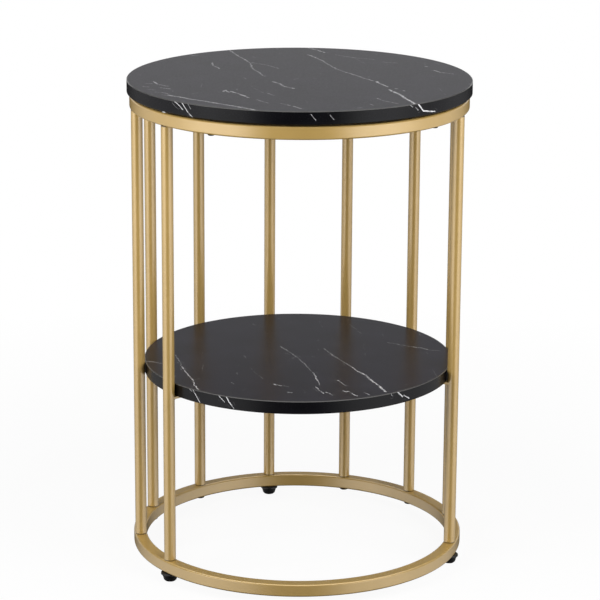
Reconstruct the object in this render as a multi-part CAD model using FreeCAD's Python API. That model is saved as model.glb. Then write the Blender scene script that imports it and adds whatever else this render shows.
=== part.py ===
import FreeCAD, Part
import math
import os

# Round two-tier side table, in millimetres and degrees. The floor is z = 0, the table's axis is
# the z axis, and the open front of the frame faces -y.

# Boards: printed chipboard discs with a glued edge band
board_diameter = 400.0
board_thickness = 15.0
board_overhang = 3.0
edge_band_thickness = 1.0
edge_band_bevel = 0.8
glue_line = 0.05
shelf_top_height = 240.0
shelf_clearance = 0.35

# Rings: square steel tube bent to a circle and welded end to end
tube_side = 15.0
tube_wall = 1.2
tube_corner_radius = 2.2

# Poles: round steel tube, evenly spaced round the sides and the back
pole_diameter = 13.5
pole_wall = 1.0
pole_length = 517.0
pole_end_bevel = 0.6
pole_count = 9
pole_spacing = 29.4
back_angle = 90.0

# Frame screws, and the threaded plugs pressed into the pole ends
screw_diameter = 6.0
screw_head_diameter = 11.0
screw_head_height = 2.5
plug_length = 18.0
plug_clearance = 0.05
thread_clearance = 0.05
thread_end_gap = 2.0
hole_clearance = 0.3

# Smaller screws that hold the boards, and the nuts sunk in the boards
board_screw_diameter = 4.0
board_screw_head_diameter = 8.0
board_screw_head_height = 2.2
board_nut_diameter = 8.0
board_nut_cover = 4.0
board_nut_clearance = 0.05
board_nut_end_gap = 0.5
front_screw_share = 0.335

# Tabs welded to the foot poles, on which the shelf lies
tab_thickness = 2.5
tab_width = 12.0
tab_hole_reach = 20.0
tab_weld_gap = 0.05

# Levelling feet under the front poles and the back pole
foot_height = 10.5
foot_flange_diameter = 21.5
foot_flange_thickness = 2.2
foot_flange_bevel = 0.6
foot_body_diameter = 19.0
foot_sole_diameter = 15.0
foot_sole_bevel = 1.4
foot_seat_gap = 0.3
stud_socket_floor = 3.0

# Heights and radii that follow from these
ring_radius = board_diameter / 2 - board_overhang - tube_side / 2
shelf_radius = ring_radius - pole_diameter / 2 - shelf_clearance
pole_foot_height = foot_height + tube_side
top_ring_height = pole_foot_height + pole_length
ring_top_height = top_ring_height + tube_side
top_board_height = ring_top_height + screw_head_height
shelf_height = shelf_top_height - board_thickness
screw_length = tube_side + plug_length - thread_end_gap
board_nut_length = board_thickness - board_nut_cover

# Angles of the poles round the axis, from the front right round the back to the front left
pole_angles = [back_angle + pole_spacing * (i - (pole_count - 1) / 2) for i in range(pole_count)]
foot_poles = [0, pole_count // 2, pole_count - 1]
foot_angles = [pole_angles[i] for i in foot_poles]
screwed_angles = [pole_angles[i] for i in range(pole_count) if i not in foot_poles]

# The top board's screws: midway between poles at the back, and in the open front
open_front = 360.0 - pole_spacing * (pole_count - 1)
board_screw_angles = [
    back_angle - 1.5 * pole_spacing,
    back_angle + 1.5 * pole_spacing,
    back_angle + 180.0 - front_screw_share * open_front,
    back_angle + 180.0 + front_screw_share * open_front,
]

AXIS_FOOT = FreeCAD.Vector(0, 0, 0)
UP = FreeCAD.Vector(0, 0, 1)
SIDEWAYS = FreeCAD.Vector(1, 0, 0)


def turned(*corners):
    """Turns a closed outline of (radius, height) corners about the z axis."""
    points = [FreeCAD.Vector(r, 0, z) for r, z in corners + corners[:1]]
    return Part.Face(Part.makePolygon(points)).revolve(AXIS_FOOT, UP, 360)


def bush(outer_radius, inner_radius, length):
    """A plain sleeve that stands on the origin."""
    return turned((inner_radius, 0), (outer_radius, 0), (outer_radius, length), (inner_radius, length))


def place(shape, radius, angle, height):
    """A copy of a piece at its place on a circle round the table's axis, with its +x pointing outwards."""
    piece = shape.copy()
    piece.rotate(AXIS_FOOT, UP, angle)
    turn = math.radians(angle)
    piece.translate(FreeCAD.Vector(radius * math.cos(turn), radius * math.sin(turn), height))
    return piece


def ring_of(shape, radius, angles, height):
    """Equal pieces on a circle, as one group of separate solids."""
    return Part.makeCompound([place(shape, radius, angle, height) for angle in angles])


def upside_down(shape):
    """A copy of a piece turned head down about the x axis."""
    piece = shape.copy()
    piece.rotate(AXIS_FOOT, SIDEWAYS, 180)
    return piece


def board_core(radius, screw_radius, screw_angles, height):
    """A disc of chipboard with blind holes in its underside for the sunk nuts."""
    core = Part.makeCylinder(radius - edge_band_thickness - glue_line, board_thickness)
    hole_radius = board_nut_diameter / 2 + board_nut_clearance
    hole = Part.makeCylinder(hole_radius, board_nut_length + board_nut_end_gap)
    core = core.cut(ring_of(hole, screw_radius, screw_angles, 0))
    core.translate(FreeCAD.Vector(0, 0, height))
    return core


def bevelled_tube(outer_radius, inner_radius, bevel, length):
    """A sleeve that stands on the origin, with the outer edges of its ends bevelled."""
    eased = outer_radius - bevel
    return turned(
        (inner_radius, 0),
        (eased, 0),
        (outer_radius, bevel),
        (outer_radius, length - bevel),
        (eased, length),
        (inner_radius, length),
    )


def edge_band(radius, height):
    """The strip glued round a board, with its two outer edges scraped to a bevel."""
    strip = bevelled_tube(radius, radius - edge_band_thickness, edge_band_bevel, board_thickness)
    strip.translate(FreeCAD.Vector(0, 0, height))
    return strip


def tube_ring(height, drillings):
    """Hollow square tube bent to a full circle, drilled right through for each screw."""
    half = tube_side / 2
    ring = bush(ring_radius + half, ring_radius - half, tube_side)
    corners = [edge for edge in ring.Edges if isinstance(edge.Curve, Part.Circle)]
    ring = ring.makeFillet(tube_corner_radius, corners)
    hollow = bush(ring_radius + half - tube_wall, ring_radius - half + tube_wall, tube_side - 2 * tube_wall)
    hollow.translate(FreeCAD.Vector(0, 0, tube_wall))
    ring = ring.cut(hollow)
    for hole_radius, angles in drillings:
        drill = Part.makeCylinder(hole_radius, tube_side)
        ring = ring.cut(ring_of(drill, ring_radius, angles, 0))
    ring.translate(FreeCAD.Vector(0, 0, height))
    return ring


def pole():
    """One round tube with its cut ends bevelled, standing on the origin."""
    outer = pole_diameter / 2
    return bevelled_tube(outer, outer - pole_wall, pole_end_bevel, pole_length)


def pole_plug():
    """The threaded plug in a pole end, standing on the origin."""
    return bush(
        pole_diameter / 2 - pole_wall - plug_clearance,
        screw_diameter / 2 + thread_clearance,
        plug_length,
    )


def screw(diameter, head_diameter, head_height, length):
    """A low-headed screw, head up, with its bearing face at the origin and a sloping crown."""
    return turned(
        (0, -length),
        (diameter / 2, -length),
        (diameter / 2, 0),
        (head_diameter / 2, 0),
        (head_diameter / 2, head_height / 3),
        (head_diameter / 3, head_height),
        (0, head_height),
    )


def board_screw(clamped):
    """A screw, head down, that reaches through what it clamps into a board's sunk nut."""
    length = clamped + board_nut_length - thread_end_gap
    upright = screw(board_screw_diameter, board_screw_head_diameter, board_screw_head_height, length)
    return upside_down(upright)


def board_nut():
    """The threaded sleeve sunk in a board, standing on the origin."""
    return bush(board_nut_diameter / 2, board_screw_diameter / 2 + thread_clearance, board_nut_length)


def shelf_tab():
    """A flat tab with a round end, hollowed to sit against its pole, whose axis is the z axis here."""
    arm = Part.makeBox(tab_hole_reach, tab_width, tab_thickness)
    arm.translate(FreeCAD.Vector(-tab_hole_reach, -tab_width / 2, 0))
    nose = Part.makeCylinder(tab_width / 2, tab_thickness, FreeCAD.Vector(-tab_hole_reach, 0, 0))
    hole_radius = board_screw_diameter / 2 + hole_clearance
    hole = Part.makeCylinder(hole_radius, tab_thickness, FreeCAD.Vector(-tab_hole_reach, 0, 0))
    seat = Part.makeCylinder(pole_diameter / 2 + tab_weld_gap, tab_thickness)
    return arm.fuse(nose).removeSplitter().cut(hole).cut(seat)


def foot_pad():
    """A moulded glide: a flange under the ring, a tapered body, a bevelled sole and a socket for the stud."""
    top = foot_height - foot_seat_gap
    shoulder = top - foot_flange_thickness
    flange = foot_flange_diameter / 2
    sole = foot_sole_diameter / 2
    socket = screw_diameter / 2 + thread_clearance
    return turned(
        (0, 0),
        (sole - foot_sole_bevel, 0),
        (sole, foot_sole_bevel),
        (foot_body_diameter / 2, shoulder),
        (flange, shoulder),
        (flange, top - foot_flange_bevel),
        (flange - foot_flange_bevel, top),
        (socket, top),
        (socket, stud_socket_floor),
        (0, stud_socket_floor),
    )


def foot_stud():
    """The threaded stud that carries a pad, from its socket up through the ring into the pole's plug."""
    stud_top = pole_foot_height + plug_length - thread_end_gap
    stud = Part.makeCylinder(screw_diameter / 2, stud_top - stud_socket_floor)
    stud.translate(FreeCAD.Vector(0, 0, stud_socket_floor))
    return stud


frame_hole = screw_diameter / 2 + hole_clearance
board_hole = board_screw_diameter / 2 + hole_clearance
tab_circle = ring_radius - tab_hole_reach
frame_screw = screw(screw_diameter, screw_head_diameter, screw_head_height, screw_length)
top_board_screw = board_screw(tube_side + screw_head_height)

pieces = {
    "bottom_ring": tube_ring(foot_height, [(frame_hole, pole_angles)]),
    "top_ring": tube_ring(top_ring_height, [(frame_hole, pole_angles), (board_hole, board_screw_angles)]),
    "lower_pole_plugs": ring_of(pole_plug(), ring_radius, screwed_angles, pole_foot_height),
    "foot_plugs": ring_of(pole_plug(), ring_radius, foot_angles, pole_foot_height),
    "upper_pole_plugs": ring_of(pole_plug(), ring_radius, pole_angles, top_ring_height - plug_length),
    "lower_pole_screws": ring_of(upside_down(frame_screw), ring_radius, screwed_angles, foot_height),
    "upper_pole_screws": ring_of(frame_screw, ring_radius, pole_angles, ring_top_height),
    "top_board": board_core(board_diameter / 2, ring_radius, board_screw_angles, top_board_height),
    "top_edge_band": edge_band(board_diameter / 2, top_board_height),
    "top_board_nuts": ring_of(board_nut(), ring_radius, board_screw_angles, top_board_height),
    "top_board_screws": ring_of(top_board_screw, ring_radius, board_screw_angles, top_ring_height),
    "shelf_board": board_core(shelf_radius, tab_circle, foot_angles, shelf_height),
    "shelf_edge_band": edge_band(shelf_radius, shelf_height),
    "shelf_nuts": ring_of(board_nut(), tab_circle, foot_angles, shelf_height),
    "shelf_screws": ring_of(board_screw(tab_thickness), tab_circle, foot_angles, shelf_height - tab_thickness),
}
for number, angle in enumerate(pole_angles, start=1):
    pieces[f"pole_{number}"] = place(pole(), ring_radius, angle, pole_foot_height)
for number, angle in enumerate(foot_angles, start=1):
    pieces[f"shelf_tab_{number}"] = place(shelf_tab(), ring_radius, angle, shelf_height - tab_thickness)
    pieces[f"foot_stud_{number}"] = place(foot_stud(), ring_radius, angle, 0)
    pieces[f"foot_pad_{number}"] = place(foot_pad(), ring_radius, angle, 0)

os.makedirs("parts", exist_ok=True)
for name, shape in pieces.items():
    shape.exportStep(f"parts/{name}.step")
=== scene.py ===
import bmesh
import bpy
import math
from mathutils import Matrix, Vector


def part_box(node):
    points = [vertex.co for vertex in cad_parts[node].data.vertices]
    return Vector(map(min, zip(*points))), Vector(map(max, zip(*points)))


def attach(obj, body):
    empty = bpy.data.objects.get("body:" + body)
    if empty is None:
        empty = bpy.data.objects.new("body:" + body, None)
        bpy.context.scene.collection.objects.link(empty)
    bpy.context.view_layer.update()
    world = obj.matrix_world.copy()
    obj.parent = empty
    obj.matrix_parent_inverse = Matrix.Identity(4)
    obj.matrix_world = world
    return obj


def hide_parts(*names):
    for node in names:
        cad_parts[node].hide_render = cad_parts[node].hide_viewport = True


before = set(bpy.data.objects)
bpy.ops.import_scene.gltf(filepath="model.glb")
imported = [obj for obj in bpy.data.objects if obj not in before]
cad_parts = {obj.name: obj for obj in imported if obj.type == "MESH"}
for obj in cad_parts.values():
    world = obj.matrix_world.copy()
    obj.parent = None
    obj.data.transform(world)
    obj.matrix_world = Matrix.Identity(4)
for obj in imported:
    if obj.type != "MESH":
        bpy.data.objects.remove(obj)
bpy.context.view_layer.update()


# Bottom ring: square steel tube, bent to a circle and welded end to end, then powder coated in
# a satin champagne gold. It is drilled through for the screws of the poles and the studs of the feet.

tube_wall = 0.0012
tube_corner_radius = 0.0022
corner_steps = 6
bend_steps = 240
frame_hole_radius = 0.0033
round_points = 48
sharpest_smooth_bend = math.radians(35.0)
gold_deep = (0.600, 0.388, 0.108)
gold_pale = (0.640, 0.416, 0.124)
gold_glint = (0.70, 0.50, 0.20)
# Painted shade: the dark brown of the line at each seat, and how far from the seat it fades out, in
# metres.
painted_seat_shade = (0.05, 0.028, 0.008)
painted_seat_shade_width = 0.0015


def add_node(tree, kind, inputs=None, **settings):
    """A shader node with its settings; an input is a value, or a socket to link from."""
    node = tree.nodes.new(kind)
    for name, value in settings.items():
        setattr(node, name, value)
    for name, value in (inputs or {}).items():
        if isinstance(value, bpy.types.NodeSocket):
            tree.links.new(value, node.inputs[name])
        else:
            node.inputs[name].default_value = value
    return node


def arithmetic(tree, operation, *numbers, clamp=False):
    """A number worked out from others."""
    return add_node(tree, "ShaderNodeMath", dict(enumerate(numbers)),
                    operation=operation, use_clamp=clamp).outputs[0]


def remap(tree, value, start, end, at_start=0.0, at_end=1.0, kind="LINEAR"):
    """A number that goes from at_start to at_end while the value goes from start to end."""
    return add_node(tree, "ShaderNodeMapRange", {
        "Value": value, "From Min": start, "From Max": end, "To Min": at_start, "To Max": at_end},
        interpolation_type=kind).outputs["Result"]


def table_place(tree):
    """The place of a point, in the table's own metres."""
    return add_node(tree, "ShaderNodeTexCoord").outputs["Object"]


def parts_of(tree, vector):
    return add_node(tree, "ShaderNodeSeparateXYZ", {"Vector": vector}).outputs


def speckle(tree, grains, detail=2.0):
    """Noise with so many grains to the metre."""
    return add_node(tree, "ShaderNodeTexNoise", {
        "Vector": table_place(tree), "Scale": grains, "Detail": detail}).outputs["Fac"]


def spread(tree, noise, low, high):
    """Maps the middle of a noise's range to the range from low to high."""
    noise_low = 0.3
    noise_high = 0.7
    return remap(tree, noise, noise_low, noise_high, low, high)


def blend_colours(tree, share, first, second):
    """A share of the way from one colour to another; each is a colour, or a socket to link from."""
    colour_inputs = (6, 7)
    colour_output = 2
    mix = add_node(tree, "ShaderNodeMix", {"Factor": share}, data_type="RGBA")
    for socket, colour in zip(colour_inputs, (first, second)):
        if isinstance(colour, bpy.types.NodeSocket):
            tree.links.new(colour, mix.inputs[socket])
        else:
            mix.inputs[socket].default_value = (*colour, 1.0)
    return mix.outputs[colour_output]


def mottled(tree, noise, first, second):
    """A colour that drifts between two with a noise."""
    return blend_colours(tree, spread(tree, noise, 0.0, 1.0), first, second)


def new_finish(name, **sockets):
    """An empty material, its tree and its surface shader, with the plain values set on the shader."""
    material = bpy.data.materials.new(name)
    material.use_nodes = True
    surface = material.node_tree.nodes["Principled BSDF"]
    for socket, value in sockets.items():
        surface.inputs[socket.replace("_", " ")].default_value = value
    return material, material.node_tree, surface


def lay_on(tree, surface, tint, grain, smoothest, roughest):
    """Gives a finish its colour, and a roughness that follows a noise."""
    tree.links.new(tint, surface.inputs["Base Color"])
    tree.links.new(spread(tree, grain, smoothest, roughest), surface.inputs["Roughness"])


def raise_bumps(tree, surface, height, depth):
    bump = add_node(tree, "ShaderNodeBump", {"Height": height, "Distance": depth, "Strength": 1.0})
    tree.links.new(bump.outputs["Normal"], surface.inputs["Normal"])


def gold_coat(name, seats=()):
    """The gold finish, with a line of painted shade at each height where a piece sits on another."""
    material, tree, surface = new_finish(
        name, Metallic=0.25, IOR=1.5, Coat_Weight=1.0, Coat_IOR=2.0, Coat_Roughness=0.2)
    grain = speckle(tree, grains=2600.0)
    tint = mottled(tree, speckle(tree, grains=35.0, detail=3.0), gold_deep, gold_pale)
    tint = blend_colours(tree, spread(tree, grain, 0.0, 0.25), tint, gold_glint)
    height = parts_of(tree, table_place(tree))["Z"]
    # Painted shade: dark brown at each seat height, fading out by 1.5 mm, for the shadow where pieces
    # meet.
    for seat in seats:
        away = arithmetic(tree, "ABSOLUTE", arithmetic(tree, "SUBTRACT", height, seat))
        shade = remap(tree, away, 0.4 * painted_seat_shade_width, painted_seat_shade_width, 1.0, 0.0)
        tint = blend_colours(tree, shade, tint, painted_seat_shade)
    lay_on(tree, surface, tint, grain, smoothest=0.33, roughest=0.43)
    raise_bumps(tree, surface, speckle(tree, grains=1200.0), depth=0.000003)
    return material


def dress(node, finish):
    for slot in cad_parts[node].material_slots:
        slot.material = finish


def outline(reach_at, height):
    """Points round the z axis; reach_at gives the distance from it by the turn in degrees."""
    points = []
    for step in range(round_points):
        turn = 360.0 * step / round_points
        reach = reach_at(turn)
        across = reach * math.cos(math.radians(turn))
        along = reach * math.sin(math.radians(turn))
        points.append((across, along, height))
    return points


def circle(radius, height):
    return outline(lambda turn: radius, height)


def add_piece(name, mesh, finish, body, slot, *nodes):
    """Makes a mesh a piece of the table that rides on a body and stands for CAD nodes."""
    bmesh.ops.recalc_face_normals(mesh, faces=mesh.faces)
    data = bpy.data.meshes.new(name)
    mesh.to_mesh(data)
    mesh.free()
    data.shade_smooth()
    data.set_sharp_from_angle(angle=sharpest_smooth_bend)
    data.materials.append(finish)
    piece = bpy.data.objects.new(name, data)
    bpy.context.scene.collection.objects.link(piece)
    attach(piece, body)
    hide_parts(*nodes)
    return piece


def solids_of(node):
    """The middle and the width of each separate solid of a node."""
    mesh = bmesh.new()
    mesh.from_mesh(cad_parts[node].data)
    bmesh.ops.remove_doubles(mesh, verts=mesh.verts, dist=0.000001)
    left = set(mesh.verts)
    solids = []
    while left:
        reached = [left.pop()]
        group = []
        while reached:
            vert = reached.pop()
            group.append(vert.co.copy())
            for edge in vert.link_edges:
                other = edge.other_vert(vert)
                if other in left:
                    left.remove(other)
                    reached.append(other)
        low = Vector([min(place[axis] for place in group) for axis in range(3)])
        high = Vector([max(place[axis] for place in group) for axis in range(3)])
        solids.append(((low + high) / 2, high.x - low.x))
    mesh.free()
    return solids


def bent_row(mesh, across, height):
    """A circle of corners round the table's axis."""
    turns = [2 * math.pi * step / bend_steps for step in range(bend_steps)]
    return [mesh.verts.new((across * math.cos(turn), across * math.sin(turn), height)) for turn in turns]


def join_rows(mesh, first, second, steps=None):
    """A wall between two closed rows of corners, all the way round or at some steps only."""
    count = len(first)
    for step in range(count) if steps is None else steps:
        after = (step + 1) % count
        mesh.faces.new((first[step], first[after], second[after], second[step]))


def drilled_wall(mesh, first, second, holes):
    """A level wall between two rows, with round holes; gives the rims of the holes."""
    plain = set(range(bend_steps))
    height = first[0].co.z
    rims = []
    for middle, radius in holes:
        turn = math.atan2(middle.y, middle.x)
        margin = 2 * radius / middle.xy.length
        start = math.floor((turn - margin) / (2 * math.pi) * bend_steps)
        end = math.ceil((turn + margin) / (2 * math.pi) * bend_steps)
        patch = [step % bend_steps for step in range(start, end + 1)]
        border = [first[step] for step in patch] + [second[step] for step in reversed(patch)]
        rim = [mesh.verts.new((middle.x + x, middle.y + y, z)) for x, y, z in circle(radius, height)]
        edges = []
        for loop in (border, rim):
            for pair in zip(loop, loop[1:] + loop[:1]):
                edges.append(mesh.edges.get(pair) or mesh.edges.new(pair))
        bmesh.ops.triangle_fill(mesh, edges=edges, use_beauty=True)
        plain -= set(patch[:-1])
        rims.append(rim)
    join_rows(mesh, first, second, sorted(plain))
    return rims


def tube_ring(name, node, holes):
    """A hollow ring of square tube in place of a CAD ring; each hole is its middle and its radius."""
    low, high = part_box(node)
    half = (high.z - low.z) / 2
    bend_radius = high.x - half
    middle_height = low.z + half
    flat_half = half - tube_corner_radius
    hollow_half = half - tube_wall
    corners = ((1, -1), (1, 1), (-1, 1), (-1, -1))
    mesh = bmesh.new()
    outside = []
    inside = []
    facing = []
    for corner, (side, up) in enumerate(corners):
        rows = []
        for step in range(corner_steps + 1):
            lean = math.radians(90.0 * (corner - 1 + step / corner_steps))
            across = bend_radius + side * flat_half + tube_corner_radius * math.cos(lean)
            height = middle_height + up * flat_half + tube_corner_radius * math.sin(lean)
            row = bent_row(mesh, across, height)
            for vert in row:
                outward = vert.co.xy.normalized() * math.cos(lean)
                facing.append((outward.x, outward.y, math.sin(lean)))
            rows.append(row)
        for row, next_row in zip(rows, rows[1:]):
            join_rows(mesh, row, next_row)
        outside.append(rows)
    for side, up in corners:
        inside.append(bent_row(mesh, bend_radius + side * hollow_half, middle_height + up * hollow_half))
    for first, second in ((0, 1), (2, 3)):
        join_rows(mesh, outside[first][-1], outside[second][0])
        join_rows(mesh, inside[first], inside[second])
    for first, second in ((1, 2), (3, 0)):
        outer_rims = drilled_wall(mesh, outside[first][-1], outside[second][0], holes)
        inner_rims = drilled_wall(mesh, inside[first], inside[second], holes)
        for rim, inner_rim in zip(outer_rims, inner_rims):
            join_rows(mesh, rim, inner_rim)
    piece = add_piece(name, mesh, gold, "table_frame", "gold_frame", node)
    normals = []
    for face in piece.data.polygons:
        normals += [facing[corner] if corner < len(facing) else face.normal for corner in face.vertices]
    piece.data.normals_split_custom_set(normals)


def drilled_for(radius, *nodes):
    """A hole of that radius at each solid of the nodes."""
    return [(middle, radius) for node in nodes for middle, _ in solids_of(node)]


gold = gold_coat("gold_powder_coat")
tube_ring("bottom_ring_tube", "bottom_ring", drilled_for(
    frame_hole_radius, "lower_pole_screws", "foot_stud_1", "foot_stud_2", "foot_stud_3"))


# Poles: nine round steel tubes with the same gold coat, cut square and bevelled at both ends, where a
# line of painted shade darkens the gold at the seat. A threaded plug is pressed into each end, out of
# sight.

zinc_dull = (0.60, 0.61, 0.62)
zinc_bright = (0.72, 0.72, 0.70)


def zinc_plate():
    material, tree, surface = new_finish("zinc_plate", Metallic=1.0)
    tint = mottled(tree, speckle(tree, grains=260.0, detail=3.0), zinc_dull, zinc_bright)
    lay_on(tree, surface, tint, speckle(tree, grains=1500.0), smoothest=0.22, roughest=0.34)
    raise_bumps(tree, surface, speckle(tree, grains=2200.0), depth=0.00001)
    return material


zinc = zinc_plate()
pole_names = [f"pole_{number}" for number in range(1, 10)]
# The poles' gold carries the painted shade line at both of their ends.
pole_gold_with_painted_shade = gold_coat("gold_pole_coat_painted_shade", [end.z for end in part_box("pole_1")])
for pole_name in pole_names:
    dress(pole_name, pole_gold_with_painted_shade)
for plug_group in ("lower_pole_plugs", "foot_plugs", "upper_pole_plugs"):
    dress(plug_group, zinc)


# Top ring: a second ring of the same tube, on top of the poles. It is drilled for the screws of
# the poles and for those that go up into the top board.

board_hole_radius = 0.0023
tube_ring("top_ring_tube", "top_ring", drilled_for(frame_hole_radius, "upper_pole_screws")
          + drilled_for(board_hole_radius, "top_board_screws"))


# Frame screws: low button-headed machine screws with a hex socket, black ones up through the
# bottom ring and zinc plated ones down through the top ring; the black of the lower ones is painted
# shade, standing in for the shade under the ring. Each turns into the plug of a pole.

socket_across = 0.004
frame_shank_radius = 0.003
dome_steps = 5
oxide_and_shade_dark = (0.012, 0.012, 0.013)
oxide_and_shade_light = (0.03, 0.03, 0.031)


# Black oxide on the board screws; on the lower frame screws the same dark finish is painted shade.
def black_oxide_and_painted_shade():
    material, tree, surface = new_finish("black_oxide_and_painted_shade", Metallic=0.8)
    tint = mottled(tree, speckle(tree, grains=500.0), oxide_and_shade_dark, oxide_and_shade_light)
    lay_on(tree, surface, tint, speckle(tree, grains=1800.0), smoothest=0.38, roughest=0.5)
    return material


def hex_socket(share, height):
    """The outline of the socket, drawn in to a share of its size."""
    def reach_at(turn):
        from_flat = turn % 60.0 - 30.0
        return share * socket_across / 2 / math.cos(math.radians(from_flat))
    return outline(reach_at, height)


def skin(mesh, rings, place=Matrix()):
    """Joins a stack of rings into a closed skin."""
    rows = [[mesh.verts.new(place @ Vector(point)) for point in ring] for ring in rings]
    for row, next_row in zip(rows, rows[1:]):
        join_rows(mesh, row, next_row)
    mesh.faces.new(list(reversed(rows[0])))
    mesh.faces.new(rows[-1])


def screw_rings(shank_radius, head_radius, head_height, length, recess):
    """A screw with its head up, from the tip of its shank to the floor of its recess."""
    tip_radius = 0.8 * shank_radius
    tip_height = shank_radius - tip_radius
    rim_height = 0.3 * head_height
    crown_radius = 0.62 * head_radius
    recess_wall_end = 0.35 * head_height
    recess_floor = 0.2 * head_height
    rings = [circle(tip_radius, -length), circle(shank_radius, tip_height - length),
             circle(shank_radius, 0.0), circle(head_radius, 0.0), circle(head_radius, rim_height)]
    for step in range(1, dome_steps + 1):
        lean = math.radians(90.0 * step / dome_steps)
        rings.append(circle(crown_radius + (head_radius - crown_radius) * math.cos(lean),
                            rim_height + (head_height - rim_height) * math.sin(lean)))
    return rings + [recess(1.0, head_height), recess(0.96, recess_wall_end), recess(0.3, recess_floor)]


def add_screws(name, node, seat, shank_radius, recess, finish, slot):
    """One screw in place of each solid of a node; seat is the height that the heads lie on."""
    low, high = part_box(node)
    head_up = high.z - seat < seat - low.z
    head_height = min(high.z - seat, seat - low.z)
    length = max(high.z - seat, seat - low.z)
    mesh = bmesh.new()
    for middle, width in solids_of(node):
        place = Matrix.Translation((middle.x, middle.y, seat))
        if not head_up:
            place = place @ Matrix.Rotation(math.pi, 4, "X")
        skin(mesh, screw_rings(shank_radius, width / 2, head_height, length, recess), place)
    add_piece(name, mesh, finish, "table_frame", slot, node)


oxide_and_shade = black_oxide_and_painted_shade()
# Painted shade: these match the upper screws but get the black finish, for the shade under the ring.
add_screws("lower_frame_screws", "lower_pole_screws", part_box("bottom_ring")[0].z, frame_shank_radius,
           hex_socket, oxide_and_shade, "black_fastener")
add_screws("upper_frame_screws", "upper_pole_screws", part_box("top_ring")[1].z, frame_shank_radius,
           hex_socket, zinc, "zinc_fastener")


# Shelf tabs: three short steel plates, welded to the insides of the foot poles and coated with them.
# A bead of weld laid in small ripples goes round the pole under each tab.

weld_radius = 0.001
weld_reach = math.radians(52.0)
weld_sections = 49
weld_ripples = 12
ripple_depth = 0.12
weld_end_size = 0.3
weld_end_taper = 8


def weld_bead(tab):
    """The bead under a tab, round the pole that is nearest to it."""
    low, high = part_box(tab)
    middle = (low + high) / 2
    axes = [(sum(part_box(name), Vector()) / 2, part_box(name)) for name in pole_names]
    axis, (pole_low, pole_high) = min(axes, key=lambda pole: (pole[0].xy - middle.xy).length)
    pole_radius = (pole_high.x - pole_low.x) / 2
    inward = Vector((-axis.x, -axis.y, 0.0)).normalized()
    upward = Vector((0.0, 0.0, 1.0))
    bead = circle(weld_radius, 0.0)[::4]
    rings = []
    for section in range(weld_sections):
        share = section / (weld_sections - 1)
        outward = Matrix.Rotation(weld_reach * (2 * share - 1), 3, "Z") @ inward
        swell = 1 + ripple_depth * math.sin(2 * math.pi * weld_ripples * share)
        swell *= min(1.0, weld_end_size + weld_end_taper * min(share, 1 - share))
        heart = Vector((axis.x, axis.y, low.z)) + outward * pole_radius
        rings.append([heart + (outward * x + upward * y) * swell for x, y, _ in bead])
    return rings


for number in (1, 2, 3):
    dress(f"shelf_tab_{number}", gold)
    weld_mesh = bmesh.new()
    skin(weld_mesh, weld_bead(f"shelf_tab_{number}"))
    add_piece(f"shelf_tab_weld_{number}", weld_mesh, gold, "table_frame", "gold_frame")


# Shelf: a chipboard disc with a black marble print under a satin lacquer, lying on three tabs, with
# a printed band glued round its edge. The thin white veins are broken in places, and run mostly
# from back to front; those of the band don't line up with those of the face.

millimetres = 1000.0
vein_heart = 0.3
vein_white = (0.85, 0.85, 0.87)
face_dark = (0.006, 0.0054, 0.0115)
face_light = (0.014, 0.0126, 0.023)
band_dark = (0.0022, 0.0022, 0.003)
band_light = (0.006, 0.0058, 0.0078)
underside_black = (0.008, 0.008, 0.009)
# Pale grey of a band's upper rim: partly its bare edge from trimming, partly a painted highlight.
rim_and_highlight_grey = (0.10, 0.098, 0.095)
stray_slant = math.radians(-12.0)
stray_stretch = (0.022, 0.0035, 1.0)


def vector_arithmetic(tree, operation, *vectors):
    """A vector or a number worked out from vectors."""
    return add_node(tree, "ShaderNodeVectorMath", dict(enumerate(vectors)), operation=operation).outputs


def vein_stroke():
    """A node group that gives how strongly a straight stroke covers a point, and how far off it is."""
    group = bpy.data.node_groups.new("vein_stroke", "ShaderNodeTree")
    for name in ("Point", "Start", "End"):
        group.interface.new_socket(name, in_out="INPUT", socket_type="NodeSocketVector")
    for name in ("Width", "Strength"):
        group.interface.new_socket(name, in_out="INPUT", socket_type="NodeSocketFloat")
    for name in ("Cover", "Gap"):
        group.interface.new_socket(name, in_out="OUTPUT", socket_type="NodeSocketFloat")
    given = add_node(group, "NodeGroupInput").outputs
    run = vector_arithmetic(group, "SUBTRACT", given["End"], given["Start"])["Vector"]
    reach = vector_arithmetic(group, "SUBTRACT", given["Point"], given["Start"])["Vector"]
    along = vector_arithmetic(group, "DOT_PRODUCT", reach, run)["Value"]
    whole = vector_arithmetic(group, "DOT_PRODUCT", run, run)["Value"]
    share = arithmetic(group, "DIVIDE", along, whole, clamp=True)
    foot = vector_arithmetic(group, "MULTIPLY_ADD", run, share, given["Start"])["Vector"]
    gap = vector_arithmetic(group, "DISTANCE", given["Point"], foot)["Value"]
    heart = arithmetic(group, "MULTIPLY", given["Width"], vein_heart)
    cover = remap(group, gap, heart, given["Width"], given["Strength"], 0.0, "SMOOTHSTEP")
    add_node(group, "NodeGroupOutput", {"Cover": cover, "Gap": gap})
    return group


stroke_group = vein_stroke()


def drawn_veins(tree, point, veins):
    """The strongest cover of all the veins, and the distance to the nearest one.

    Each vein is (width, strength, points), in millimetres.
    """
    covers = []
    gaps = []
    for width, strength, points in veins:
        for start, end in zip(points, points[1:]):
            stroke = add_node(tree, "ShaderNodeGroup", {
                "Point": point, "Start": (*start, 0.0), "End": (*end, 0.0),
                "Width": width, "Strength": strength}, node_tree=stroke_group)
            covers.append(stroke.outputs["Cover"])
            gaps.append(stroke.outputs["Gap"])
    cover = covers[0]
    for next_cover in covers[1:]:
        cover = arithmetic(tree, "MAXIMUM", cover, next_cover)
    gap = gaps[0]
    for next_gap in gaps[1:]:
        gap = arithmetic(tree, "MINIMUM", gap, next_gap)
    return cover, gap


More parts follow.
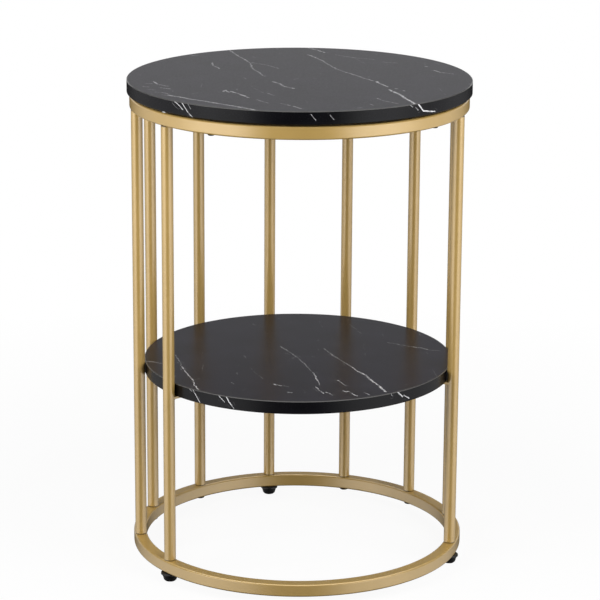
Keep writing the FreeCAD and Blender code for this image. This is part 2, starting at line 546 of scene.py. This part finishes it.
def print_noise(tree, point, scale, detail=3.0):
    """Noise on the print, with a scale to the millimetre."""
    return add_node(tree, "ShaderNodeTexNoise", {
        "Vector": point, "Scale": scale, "Detail": detail}).outputs


def wavered(tree, point, scale, reach, detail):
    """Shifts points by noise, so that drawn lines waver."""
    noise = print_noise(tree, point, scale, detail)["Color"]
    centred = vector_arithmetic(tree, "SUBTRACT", noise, (0.5, 0.5, 0.5))["Vector"]
    return vector_arithmetic(tree, "MULTIPLY_ADD", centred, (reach, reach, 0.0), point)["Vector"]


def thin_line(tree, source, level, width, strength):
    """A line of that strength where the source is near the level."""
    away = arithmetic(tree, "ABSOLUTE", arithmetic(tree, "SUBTRACT", source, level))
    return remap(tree, away, 0.0, width, strength, 0.0, "SMOOTHSTEP")


def in_places(tree, lines, point, scale, low, high):
    """Lets lines show only where a noise is high."""
    share = spread(tree, print_noise(tree, point, scale)["Fac"], low, high)
    share = arithmetic(tree, "MAXIMUM", share, 0.0)
    return arithmetic(tree, "MULTIPLY", lines, share)


def marble_print(tree, point, veins, long_waver, short_waver, faintest, stray_strength,
                 darkest, lightest):
    """The colour of black marble with the drawn veins, fine hairs beside them and faint strays.

    Points are in millimetres on the print.
    """
    line = wavered(tree, point, scale=0.035, reach=long_waver, detail=4.0)
    line = wavered(tree, line, scale=0.22, reach=short_waver, detail=1.5)
    cover, gap = drawn_veins(tree, line, veins)
    cover = in_places(tree, cover, point, scale=0.10, low=0.15, high=1.5)
    cover = in_places(tree, cover, point, scale=0.55, low=faintest, high=1.5)
    beside = spread(tree, print_noise(tree, point, scale=0.05)["Fac"], 0.6, 5.0)
    hairs = thin_line(tree, gap, beside, width=0.5, strength=0.22)
    hairs = in_places(tree, hairs, point, scale=0.08, low=-1.4, high=0.9)
    stretched = add_node(tree, "ShaderNodeMapping", {
        "Vector": line, "Rotation": (0.0, 0.0, stray_slant), "Scale": stray_stretch}).outputs["Vector"]
    drift = print_noise(tree, stretched, scale=1.0, detail=1.5)["Fac"]
    strays = thin_line(tree, drift, level=0.5, width=0.008, strength=stray_strength)
    strays = in_places(tree, strays, point, scale=0.04, low=-1.6, high=0.9)
    cover = arithmetic(tree, "MAXIMUM", cover, arithmetic(tree, "MAXIMUM", hairs, strays))
    cover = arithmetic(tree, "MINIMUM", cover, 1.0)
    haze = print_noise(tree, point, scale=0.02, detail=5.0)["Fac"]
    return blend_colours(tree, cover, mottled(tree, haze, darkest, lightest), vein_white)


def facing_up(tree):
    """How far a surface faces up: 1 for level, 0 for upright, -1 for an underside."""
    return parts_of(tree, add_node(tree, "ShaderNodeNewGeometry").outputs["Normal"])["Z"]


def lacquer(tree, surface, tint, smoothest, roughest):
    """The satin lacquer over a print, with a faint tooth."""
    lay_on(tree, surface, tint, speckle(tree, grains=700.0), smoothest, roughest)
    raise_bumps(tree, surface, speckle(tree, grains=1400.0), depth=0.000006)


def marble_face(name, veins):
    """The print on the upper face of a board, with plain black paper on its underside."""
    material, tree, surface = new_finish(name, IOR=1.35)
    point = vector_arithmetic(tree, "MULTIPLY", table_place(tree), (millimetres, millimetres, 0.0))
    tint = marble_print(tree, point["Vector"], veins, long_waver=6.0, short_waver=3.6, faintest=-0.15,
                        stray_strength=0.30, darkest=face_dark, lightest=face_light)
    upper = remap(tree, facing_up(tree), -0.1, 0.1)
    tint = blend_colours(tree, upper, underside_black, tint)
    lacquer(tree, surface, tint, smoothest=0.30, roughest=0.36)
    return material


def marble_band(name, radius, veins):
    """The print on an edge band, unrolled: millimetres round the edge, and up. Its upper rim is a pale
    grey, partly the bare edge left by trimming and partly a painted highlight.
    """
    material, tree, surface = new_finish(name, IOR=1.33)
    place = parts_of(tree, table_place(tree))
    turn = arithmetic(tree, "ARCTAN2", place["Y"], place["X"])
    upright = add_node(tree, "ShaderNodeCombineXYZ", {"X": turn, "Y": place["Z"]}).outputs["Vector"]
    point = vector_arithmetic(tree, "MULTIPLY", upright, (millimetres * radius, millimetres, 0.0))
    tint = marble_print(tree, point["Vector"], veins, long_waver=2.0, short_waver=0.8, faintest=0.5,
                        stray_strength=0.0, darkest=band_dark, lightest=band_light)
    # Faces that look upward turn pale grey: partly the bare edge, partly a painted highlight from above.
    rim_and_highlight = remap(tree, facing_up(tree), 0.3, 0.6)
    tint = blend_colours(tree, rim_and_highlight, tint, rim_and_highlight_grey)
    lacquer(tree, surface, tint, smoothest=0.22, roughest=0.28)
    return material


def round_the_edge(node, strokes):
    """A band's radius, and its strokes unrolled.

    The strokes are given in degrees round the table and millimetres above the band's lower edge.
    """
    low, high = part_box(node)
    radius = high.x
    unrolled = []
    for width, strength, points in strokes:
        laid = [(millimetres * radius * math.radians(turn), millimetres * low.z + up)
                for turn, up in points]
        unrolled.append((width, strength, laid))
    return radius, unrolled


shelf_veins = [
    (0.9, 0.40, [(-148, 64), (-143, 20), (-143, -18)]),
    (1.0, 1.15, [(-143, -22), (-142, -37), (-140, -69), (-139, -93), (-138, -115)]),
    (0.9, 0.65, [(-183, 7), (-174, 2), (-163, -8)]),
    (0.6, 0.60, [(-97, -94), (-95, -100)]),
    (0.9, 0.90, [(-50, -108), (-43, -116)]),
    (0.6, 0.65, [(-40, -116), (-36, -122)]),
    (0.8, 0.80, [(-39, -142), (-35, -145)]),
    (0.8, 0.45, [(-14, 40), (-2, -10), (3, -64)]),
    (0.9, 1.00, [(3, -72), (4, -88), (2, -121)]),
    (0.9, 1.00, [(-4, -126), (-3, -138), (0, -154)]),
    (0.8, 0.80, [(3, -149), (6, -155), (8, -163)]),
    (1.0, 1.25, [(23, -148), (26, -154), (29, -150), (33, -164), (35, -169)]),
    (0.7, 0.65, [(26, -106), (31, -129)]),
    (0.8, 0.75, [(46, -158), (50, -167)]),
    (1.0, 0.45, [(36, 22), (45, -25), (53, -58)]),
    (1.4, 1.35, [(53, -60), (57, -77), (62, -95), (66, -126), (71, -160)]),
    (0.8, 0.40, [(116, 34), (132, 20), (142, 11)]),
    (1.0, 1.15, [(143, 10), (152, 4), (158, -3)]),
    (0.7, 0.50, [(160, -6), (171, -11)]),
]
shelf_edge_strokes = [
    (0.5, 0.55, [(-144, 15), (-142.6, 12)]),
    (0.7, 1.20, [(-142, 14), (-140.6, 9), (-138.6, 1.4)]),
    (0.6, 0.70, [(-130.8, 15), (-128, 8)]),
    (0.8, 1.25, [(-127.4, 15), (-126.3, 9), (-124.3, 2)]),
    (0.6, 0.65, [(-65.6, 15), (-65, 11)]),
    (0.9, 1.25, [(-62.4, 14), (-61, 10), (-60, 7.3)]),
    (0.8, 1.15, [(-59.4, 8.7), (-56.7, 3.4)]),
    (0.7, 0.90, [(-18, 15), (-15, 8), (-14, 1)]),
    (0.8, 1.10, [(24, 14), (27, 9), (31, 4)]),
    (0.6, 0.80, [(66, 11), (68, 3)]),
    (0.8, 1.10, [(102, 15), (106, 8), (107, 1)]),
    (0.6, 0.70, [(140, 12), (143, 5)]),
    (0.8, 1.00, [(164, 15), (167, 9), (171, 5)]),
]
dress("shelf_board", marble_face("shelf_marble", shelf_veins))
dress("shelf_edge_band", marble_band(
    "shelf_band_marble", *round_the_edge("shelf_edge_band", shelf_edge_strokes)))


# Shelf screws: black pan-headed screws with a cross recess, up through the tabs into nuts that are
# sunk in the underside of the shelf.

cross_arm = 0.0019
cross_half_width = 0.0005
board_shank_radius = 0.002


def cross_recess(share, height):
    """The outline of the cross, drawn in to a share of its size."""
    def reach_at(turn):
        from_arm = math.radians(abs((turn + 45.0) % 90.0 - 45.0))
        side = cross_half_width / max(math.sin(from_arm), 0.001)
        return share * min(cross_arm / math.cos(from_arm), side)
    return outline(reach_at, height)


add_screws("shelf_fixing_screws", "shelf_screws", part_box("shelf_tab_1")[0].z, board_shank_radius,
           cross_recess, oxide_and_shade, "black_fastener")
dress("shelf_nuts", zinc)


# Top board: the same board and band, larger, with its own veins. It stands clear of the top ring by
# the height of the screw heads, which leaves a dark line under it. Four black screws hold it from below.

top_veins = [
    (1.6, 1.05, [(46, 194), (52, 184), (56, 174), (62, 157)]),
    (1.6, 1.05, [(38, 145), (44, 125), (48, 102)]),
    (1.5, 0.60, [(48, 102), (51, 62), (58, 28)]),
    (1.4, 0.80, [(59, 26), (72, -14), (80, -34)]),
    (1.6, 1.10, [(82, -38), (85, -58), (88, -72)]),
    (2.1, 1.50, [(86, -91), (90, -112), (92, -142), (96, -177)]),
    (1.8, 1.20, [(-165, -82), (-151, -97), (-134, -119), (-112, -144), (-93, -167), (-82, -184)]),
    (1.5, 1.15, [(-101, -70), (-97, -61), (-95, -75)]),
    (1.6, 1.25, [(-92, -70), (-88, -82), (-83, -96), (-79, -110)]),
    (1.2, 0.80, [(-72, -123), (-63, -145)]),
    (1.4, 0.80, [(-50, 188), (-47, 150), (-40, 105)]),
    (1.3, 0.60, [(-40, 102), (-44, 62), (-38, 14)]),
    (1.0, 0.60, [(-38, 104), (-22, 84), (-14, 60)]),
    (1.1, 0.75, [(-85, 110), (-87, 92), (-82, 72)]),
    (1.5, 0.90, [(-36, -20), (-30, -32), (-28, -50), (-20, -66)]),
    (1.0, 0.55, [(-54, -87), (-50, -101)]),
    (1.1, 0.80, [(-50, -150), (-46, -156)]),
    (1.4, 1.20, [(-44, -158), (-43, -161)]),
    (1.3, 0.95, [(-40, -167), (-34, -180)]),
    (1.6, 1.15, [(-170, 1), (-168, -14)]),
    (1.3, 0.85, [(-166, -18), (-158, -29)]),
    (1.5, 0.95, [(-167, -36), (-158, -45)]),
    (1.3, 0.80, [(-176, -61), (-169, -65), (-163, -76)]),
    (1.2, 0.75, [(-186, -25), (-180, -29)]),
    (1.0, 0.65, [(-171, -78), (-167, -82)]),
    (1.0, 0.50, [(-181, -8), (-174, -10)]),
    (1.0, 0.50, [(-183, -42), (-176, -50)]),
    (1.2, 0.80, [(61, -138), (64, -145)]),
    (1.0, 0.65, [(65, -150), (77, -171)]),
    (1.1, 0.80, [(46, -168), (48, -177)]),
    (1.3, 1.00, [(95, -82), (96, -85)]),
    (1.3, 1.00, [(101, -97), (102, -100)]),
    (1.0, 0.50, [(72, 140), (88, 118), (111, 100)]),
    (1.0, 0.45, [(116, 83), (134, 72)]),
    (1.3, 1.05, [(164, 20), (169, 6)]),
    (1.0, 0.65, [(170, 4), (181, -7)]),
    (1.2, 0.80, [(161, 48), (162, 44)]),
    (1.3, 0.90, [(145, 138), (149, 132)]),
]
top_edge_strokes = [
    (0.6, 1.15, [(-145, 15), (-143, 12), (-141, 7)]),
    (0.7, 1.25, [(-141.5, 15), (-140, 9), (-138.7, 4.5), (-137, 0.5)]),
    (0.5, 0.55, [(-138.8, 14), (-137.7, 9.5)]),
    (1.0, 1.40, [(-60.4, 15), (-59, 10), (-57.8, 6), (-55, 4), (-52.4, 2.4)]),
    (0.5, 0.60, [(-63.9, 15), (-62.5, 12)]),
    (0.6, 0.70, [(-61.4, 11.5), (-60.2, 7.7)]),
    (0.6, 0.60, [(-91.5, 10.5), (-90.3, 6)]),
    (0.5, 0.55, [(-97.5, 12), (-96, 5.5)]),
    (0.7, 0.90, [(-12, 12), (-9, 7), (-8, 1)]),
    (0.8, 1.10, [(20, 13), (24, 3)]),
    (0.9, 1.20, [(75, 15), (80, 6), (83, 1)]),
    (0.6, 0.70, [(88, 9), (90, 4)]),
    (0.7, 0.90, [(118, 14), (121, 8)]),
    (0.8, 1.10, [(130, 12), (134, 4)]),
    (0.8, 1.10, [(165, 15), (168, 5), (172, 2)]),
]
dress("top_board", marble_face("top_marble", top_veins))
dress("top_edge_band", marble_band(
    "top_band_marble", *round_the_edge("top_edge_band", top_edge_strokes)))
add_screws("top_fixing_screws", "top_board_screws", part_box("top_ring")[0].z, board_shank_radius,
           cross_recess, oxide_and_shade, "black_fastener")
dress("top_board_nuts", zinc)


# Feet: three moulded black glides on zinc plated studs, under the two front poles and the back pole.
# The studs turn in the plugs of those poles, so that each foot can be set to the floor.

stud_pitch = 0.001
thread_depth = 0.0006
rows_per_pitch = 6
plastic_dark = (0.006, 0.006, 0.0065)
plastic_light = (0.014, 0.014, 0.014)


def black_plastic():
    material, tree, surface = new_finish("black_plastic", IOR=1.48)
    tint = mottled(tree, speckle(tree, grains=300.0), plastic_dark, plastic_light)
    lay_on(tree, surface, tint, speckle(tree, grains=900.0), smoothest=0.32, roughest=0.45)
    raise_bumps(tree, surface, speckle(tree, grains=1200.0), depth=0.00002)
    return material


def thread_rings(radius, length):
    """A rod on the z axis with a thread that runs out at both ends."""
    rings = []
    rows = round(length / stud_pitch * rows_per_pitch)
    for row in range(rows + 1):
        height = length * row / rows
        run_out = min(1.0, min(height, length - height) / stud_pitch)

        def reach_at(turn):
            crest = 0.5 + 0.5 * math.cos(2 * math.pi * (height / stud_pitch - turn / 360.0))
            return radius - thread_depth * (1 - run_out * crest)
        rings.append(outline(reach_at, height))
    return rings


plastic = black_plastic()
for number in (1, 2, 3):
    dress(f"foot_pad_{number}", plastic)
    stud_low, stud_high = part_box(f"foot_stud_{number}")
    stud_middle = (stud_low + stud_high) / 2
    stud_mesh = bmesh.new()
    skin(stud_mesh, thread_rings((stud_high.x - stud_low.x) / 2, stud_high.z - stud_low.z),
         Matrix.Translation((stud_middle.x, stud_middle.y, stud_low.z)))
    add_piece(f"threaded_stud_{number}", stud_mesh, zinc, f"foot_{number}_stud", "zinc_fastener",
              f"foot_stud_{number}")


# Floor: a wide sheet of white paper under the table. It keeps a soft shadow near the table, is plain
# white further out, and lets the underside of the table be seen from below.

floor_radius = 6.0
floor_corners = 96
shadow_edge = 0.4
plain_edge = 1.1
glow_at_table = 0.92
paper_grey = (0.15, 0.15, 0.15, 1.0)
white = (1.0, 1.0, 1.0, 1.0)


def seen_directly(tree):
    """1 for what the camera, a mirror or a glass sees, 0 for what only lights the scene."""
    path = add_node(tree, "ShaderNodeLightPath").outputs
    direct = arithmetic(tree, "ADD", path["Is Camera Ray"], path["Is Glossy Ray"], clamp=True)
    return arithmetic(tree, "ADD", direct, path["Is Transmission Ray"], clamp=True)


def blend_shaders(tree, share, first, second):
    return add_node(tree, "ShaderNodeMixShader", {"Fac": share, 1: first, 2: second}).outputs[0]


def white_paper():
    material, tree, surface = new_finish("white_paper", Base_Color=paper_grey, Roughness=0.9)
    from_table = vector_arithmetic(tree, "LENGTH", table_place(tree))["Value"]
    glow_share = remap(tree, from_table, shadow_edge, plain_edge, glow_at_table, 1.0)
    shaded = add_node(tree, "ShaderNodeBsdfDiffuse", {"Color": white}).outputs[0]
    glow = add_node(tree, "ShaderNodeEmission", {"Color": white, "Strength": 1.0}).outputs[0]
    seen = blend_shaders(tree, glow_share, shaded, glow)
    upper = blend_shaders(tree, seen_directly(tree), surface.outputs[0], seen)
    from_below = add_node(tree, "ShaderNodeNewGeometry").outputs["Backfacing"]
    see_through = add_node(tree, "ShaderNodeBsdfTransparent").outputs[0]
    one_sided = blend_shaders(tree, from_below, upper, see_through)
    tree.links.new(one_sided, tree.nodes["Material Output"].inputs["Surface"])
    return material


floor_mesh = bmesh.new()
bmesh.ops.create_circle(floor_mesh, cap_ends=True, segments=floor_corners, radius=floor_radius)
floor_data = bpy.data.meshes.new("floor")
floor_mesh.to_mesh(floor_data)
floor_mesh.free()
floor_data.materials.append(white_paper())
floor = bpy.data.objects.new("floor", floor_data)
bpy.context.scene.collection.objects.link(floor)
floor.visible_glossy = False


# Surround: a studio that is plain white to the camera. Only reflections see its panels, which are pale
# to both sides of the table, dimmer towards the floor, and dark behind it and where the camera stands.

camera_side = math.radians(-11.03)
towards_camera = Vector((math.sin(camera_side), -math.cos(camera_side), 0.0))
panel_strength = 1.8
even_light = 0.21
panel_white = (1.0, 1.0, 1.0)
panel_black = (0.0, 0.0, 0.0)
high_panel_tones = [
    (180, 0.56), (130, 0.40), (100, 0.25), (82, 0.30), (66, 0.88), (40, 0.88), (23, 0.03), (0, 0.03)]
low_panel_tones = [
    (180, 0.0), (158, 0.01), (120, 0.26), (92, 0.34), (66, 0.86), (41, 0.80), (23, 0.015), (0, 0.015)]
floor_panel_tones = [
    (180, 0.0), (158, 0.02), (128, 0.26), (100, 0.46), (66, 0.50), (41, 0.38), (23, 0.035), (0, 0.035)]

world = bpy.data.worlds.new("studio")
bpy.context.scene.world = world
world.use_nodes = True
sky = world.node_tree
sky.nodes.clear()
heading = add_node(sky, "ShaderNodeTexCoord").outputs["Generated"]
steepness = parts_of(sky, heading)["Z"]
facing_camera = vector_arithmetic(sky, "DOT_PRODUCT", heading, towards_camera)["Value"]
around = remap(sky, facing_camera, -1.0, 1.0)


def panel_ring(tones):
    """Panels round the table; each tone goes with its angle in degrees from the camera's side."""
    ramp = add_node(sky, "ShaderNodeValToRGB", {"Fac": around})
    elements = ramp.color_ramp.elements
    while len(elements) < len(tones):
        elements.new(0.5)
    for element, (aside, tone) in zip(elements, tones):
        element.position = (1.0 + math.cos(math.radians(aside))) / 2
        element.color = (tone, tone, tone, 1.0)
    return ramp.outputs["Color"]


def by_steepness(start, end, first, second):
    """Goes from one tone to another between two steepnesses of the heading."""
    return blend_colours(sky, remap(sky, steepness, start, end), first, second)


def dimmed(tone, strength):
    return add_node(sky, "ShaderNodeVectorMath", {0: tone, "Scale": strength},
                    operation="SCALE").outputs[0]


high_panels = dimmed(panel_ring(high_panel_tones), remap(sky, steepness, 0.16, 0.28, 1.0, 0.05))
low_panels = by_steepness(-0.22, -0.36, panel_ring(low_panel_tones), panel_ring(floor_panel_tones))
panels = by_steepness(-0.1, 0.1, low_panels, high_panels)
panels = by_steepness(0.6, 0.8, panels, panel_white)
panels = by_steepness(-0.45, -0.7, panels, panel_black)
panels = dimmed(panels, panel_strength)
reflected = add_node(sky, "ShaderNodeLightPath").outputs["Is Glossy Ray"]
seen_tone = blend_colours(sky, reflected, panel_white, panels)
seen_sky = add_node(sky, "ShaderNodeBackground", {"Color": seen_tone, "Strength": 1.0}).outputs[0]
lighting_sky = add_node(sky, "ShaderNodeBackground", {"Color": white, "Strength": even_light}).outputs[0]
sky_shader = blend_shaders(sky, seen_directly(sky), lighting_sky, seen_sky)
add_node(sky, "ShaderNodeOutputWorld", {"Surface": sky_shader})


# Lamps: four soft boxes that stand round the table and face its middle, two strong ones in front and
# two weak ones behind. Each has its angle from the camera's side, its height and its watts.

lamp_distance = 1.15
lamp_width = 0.7
lamp_length = 0.9
lamp_aim = Vector((0.0, 0.0, 0.45))
lamps = {
    "front_lamp_left": (-50.0, 0.78, 10.6),
    "front_lamp_right": (50.0, 0.78, 10.6),
    "back_lamp_left": (-122.0, 0.45, 2.2),
    "back_lamp_right": (122.0, 0.45, 3.0),
}
for lamp_name, (aside, lamp_height, watts) in lamps.items():
    lamp_data = bpy.data.lights.new(lamp_name, "AREA")
    lamp_data.shape = "RECTANGLE"
    lamp_data.size = lamp_width
    lamp_data.size_y = lamp_length
    lamp_data.energy = watts
    lamp = bpy.data.objects.new(lamp_name, lamp_data)
    bpy.context.scene.collection.objects.link(lamp)
    lamp.location = Matrix.Rotation(math.radians(aside), 3, "Z") @ towards_camera * lamp_distance
    lamp.location.z = lamp_height
    lamp.rotation_euler = (lamp_aim - lamp.location).to_track_quat("-Z", "Y").to_euler()
    lamp.visible_glossy = False
    lamp.visible_camera = False


# Camera: a long lens on a stand in front of the table, a little to its left and above it, that looks
# down on both boards.

sensor_width = 36.0
lens_length = 156.5
camera_distance = 2.9748
camera_height = 1.1313
camera_drop = math.radians(15.468)
camera_roll = math.radians(0.354)
camera_aside = math.radians(0.037)
camera_data = bpy.data.cameras.new("camera")
camera_data.sensor_width = sensor_width
camera_data.lens = lens_length
camera = bpy.data.objects.new("camera", camera_data)
bpy.context.scene.collection.objects.link(camera)
eye = towards_camera * camera_distance + Vector((0.0, 0.0, camera_height))
camera.matrix_world = (Matrix.Translation(eye)
                       @ Matrix.Rotation(camera_side - camera_aside, 4, "Z")
                       @ Matrix.Rotation(math.pi / 2 - camera_drop, 4, "X")
                       @ Matrix.Rotation(camera_roll, 4, "Z"))
bpy.context.scene.camera = camera
bpy.context.scene.view_settings.view_transform = "Standard"
